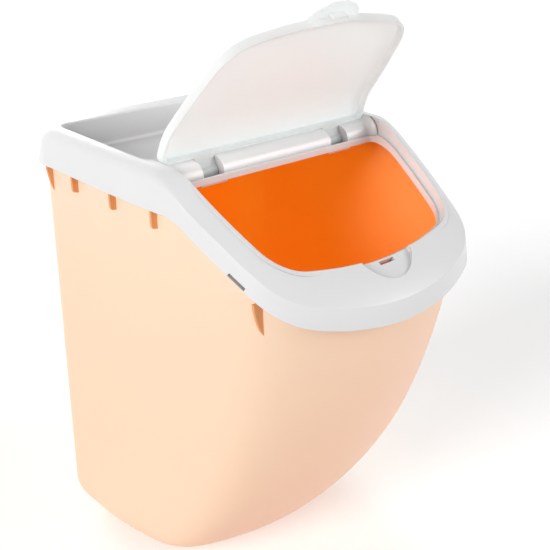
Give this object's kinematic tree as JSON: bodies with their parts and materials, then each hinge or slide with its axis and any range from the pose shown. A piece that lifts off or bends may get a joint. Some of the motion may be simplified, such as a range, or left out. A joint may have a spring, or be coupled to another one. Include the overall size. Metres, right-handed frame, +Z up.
{
  "type": "rice bin with flip lid",
  "caption": "Upright kitchen bin for rice: deep tub with a swept front, white collar with a rear tray and sloping mouth, and a translucent flip lid with a finger tab and latch hook.",
  "frame": {"origin": "middle of the bin's outline, seen from above, on the surface it stands on", "axes": "+Z up, -Y out of the front (the side with the mouth and the lid's tab), +X to the right for a viewer facing the front"},
  "size_m": [0.23, 0.28, 0.4301],
  "materials": {
    "tub_plastic": "satin, translucent",
    "collar_plastic": "gloss",
    "lid_plastic": "frosted, translucent",
    "pin_plastic": "plain"
  },
  "bodies": {
    "bin": {"tub": "tub_plastic", "collar": "collar_plastic", "hinge_pin_left": "pin_plastic", "hinge_pin_right": "pin_plastic"},
    "lid": {"flip_lid": "lid_plastic"}
  },
  "joints": [
    {"name": "lid_hinge", "type": "hinge", "parent": "bin", "child": "lid", "pos_m": [0, -0.0025, 0.3148], "axis": [1, 0, 0], "range_deg": [-6, 83]}
  ]
}
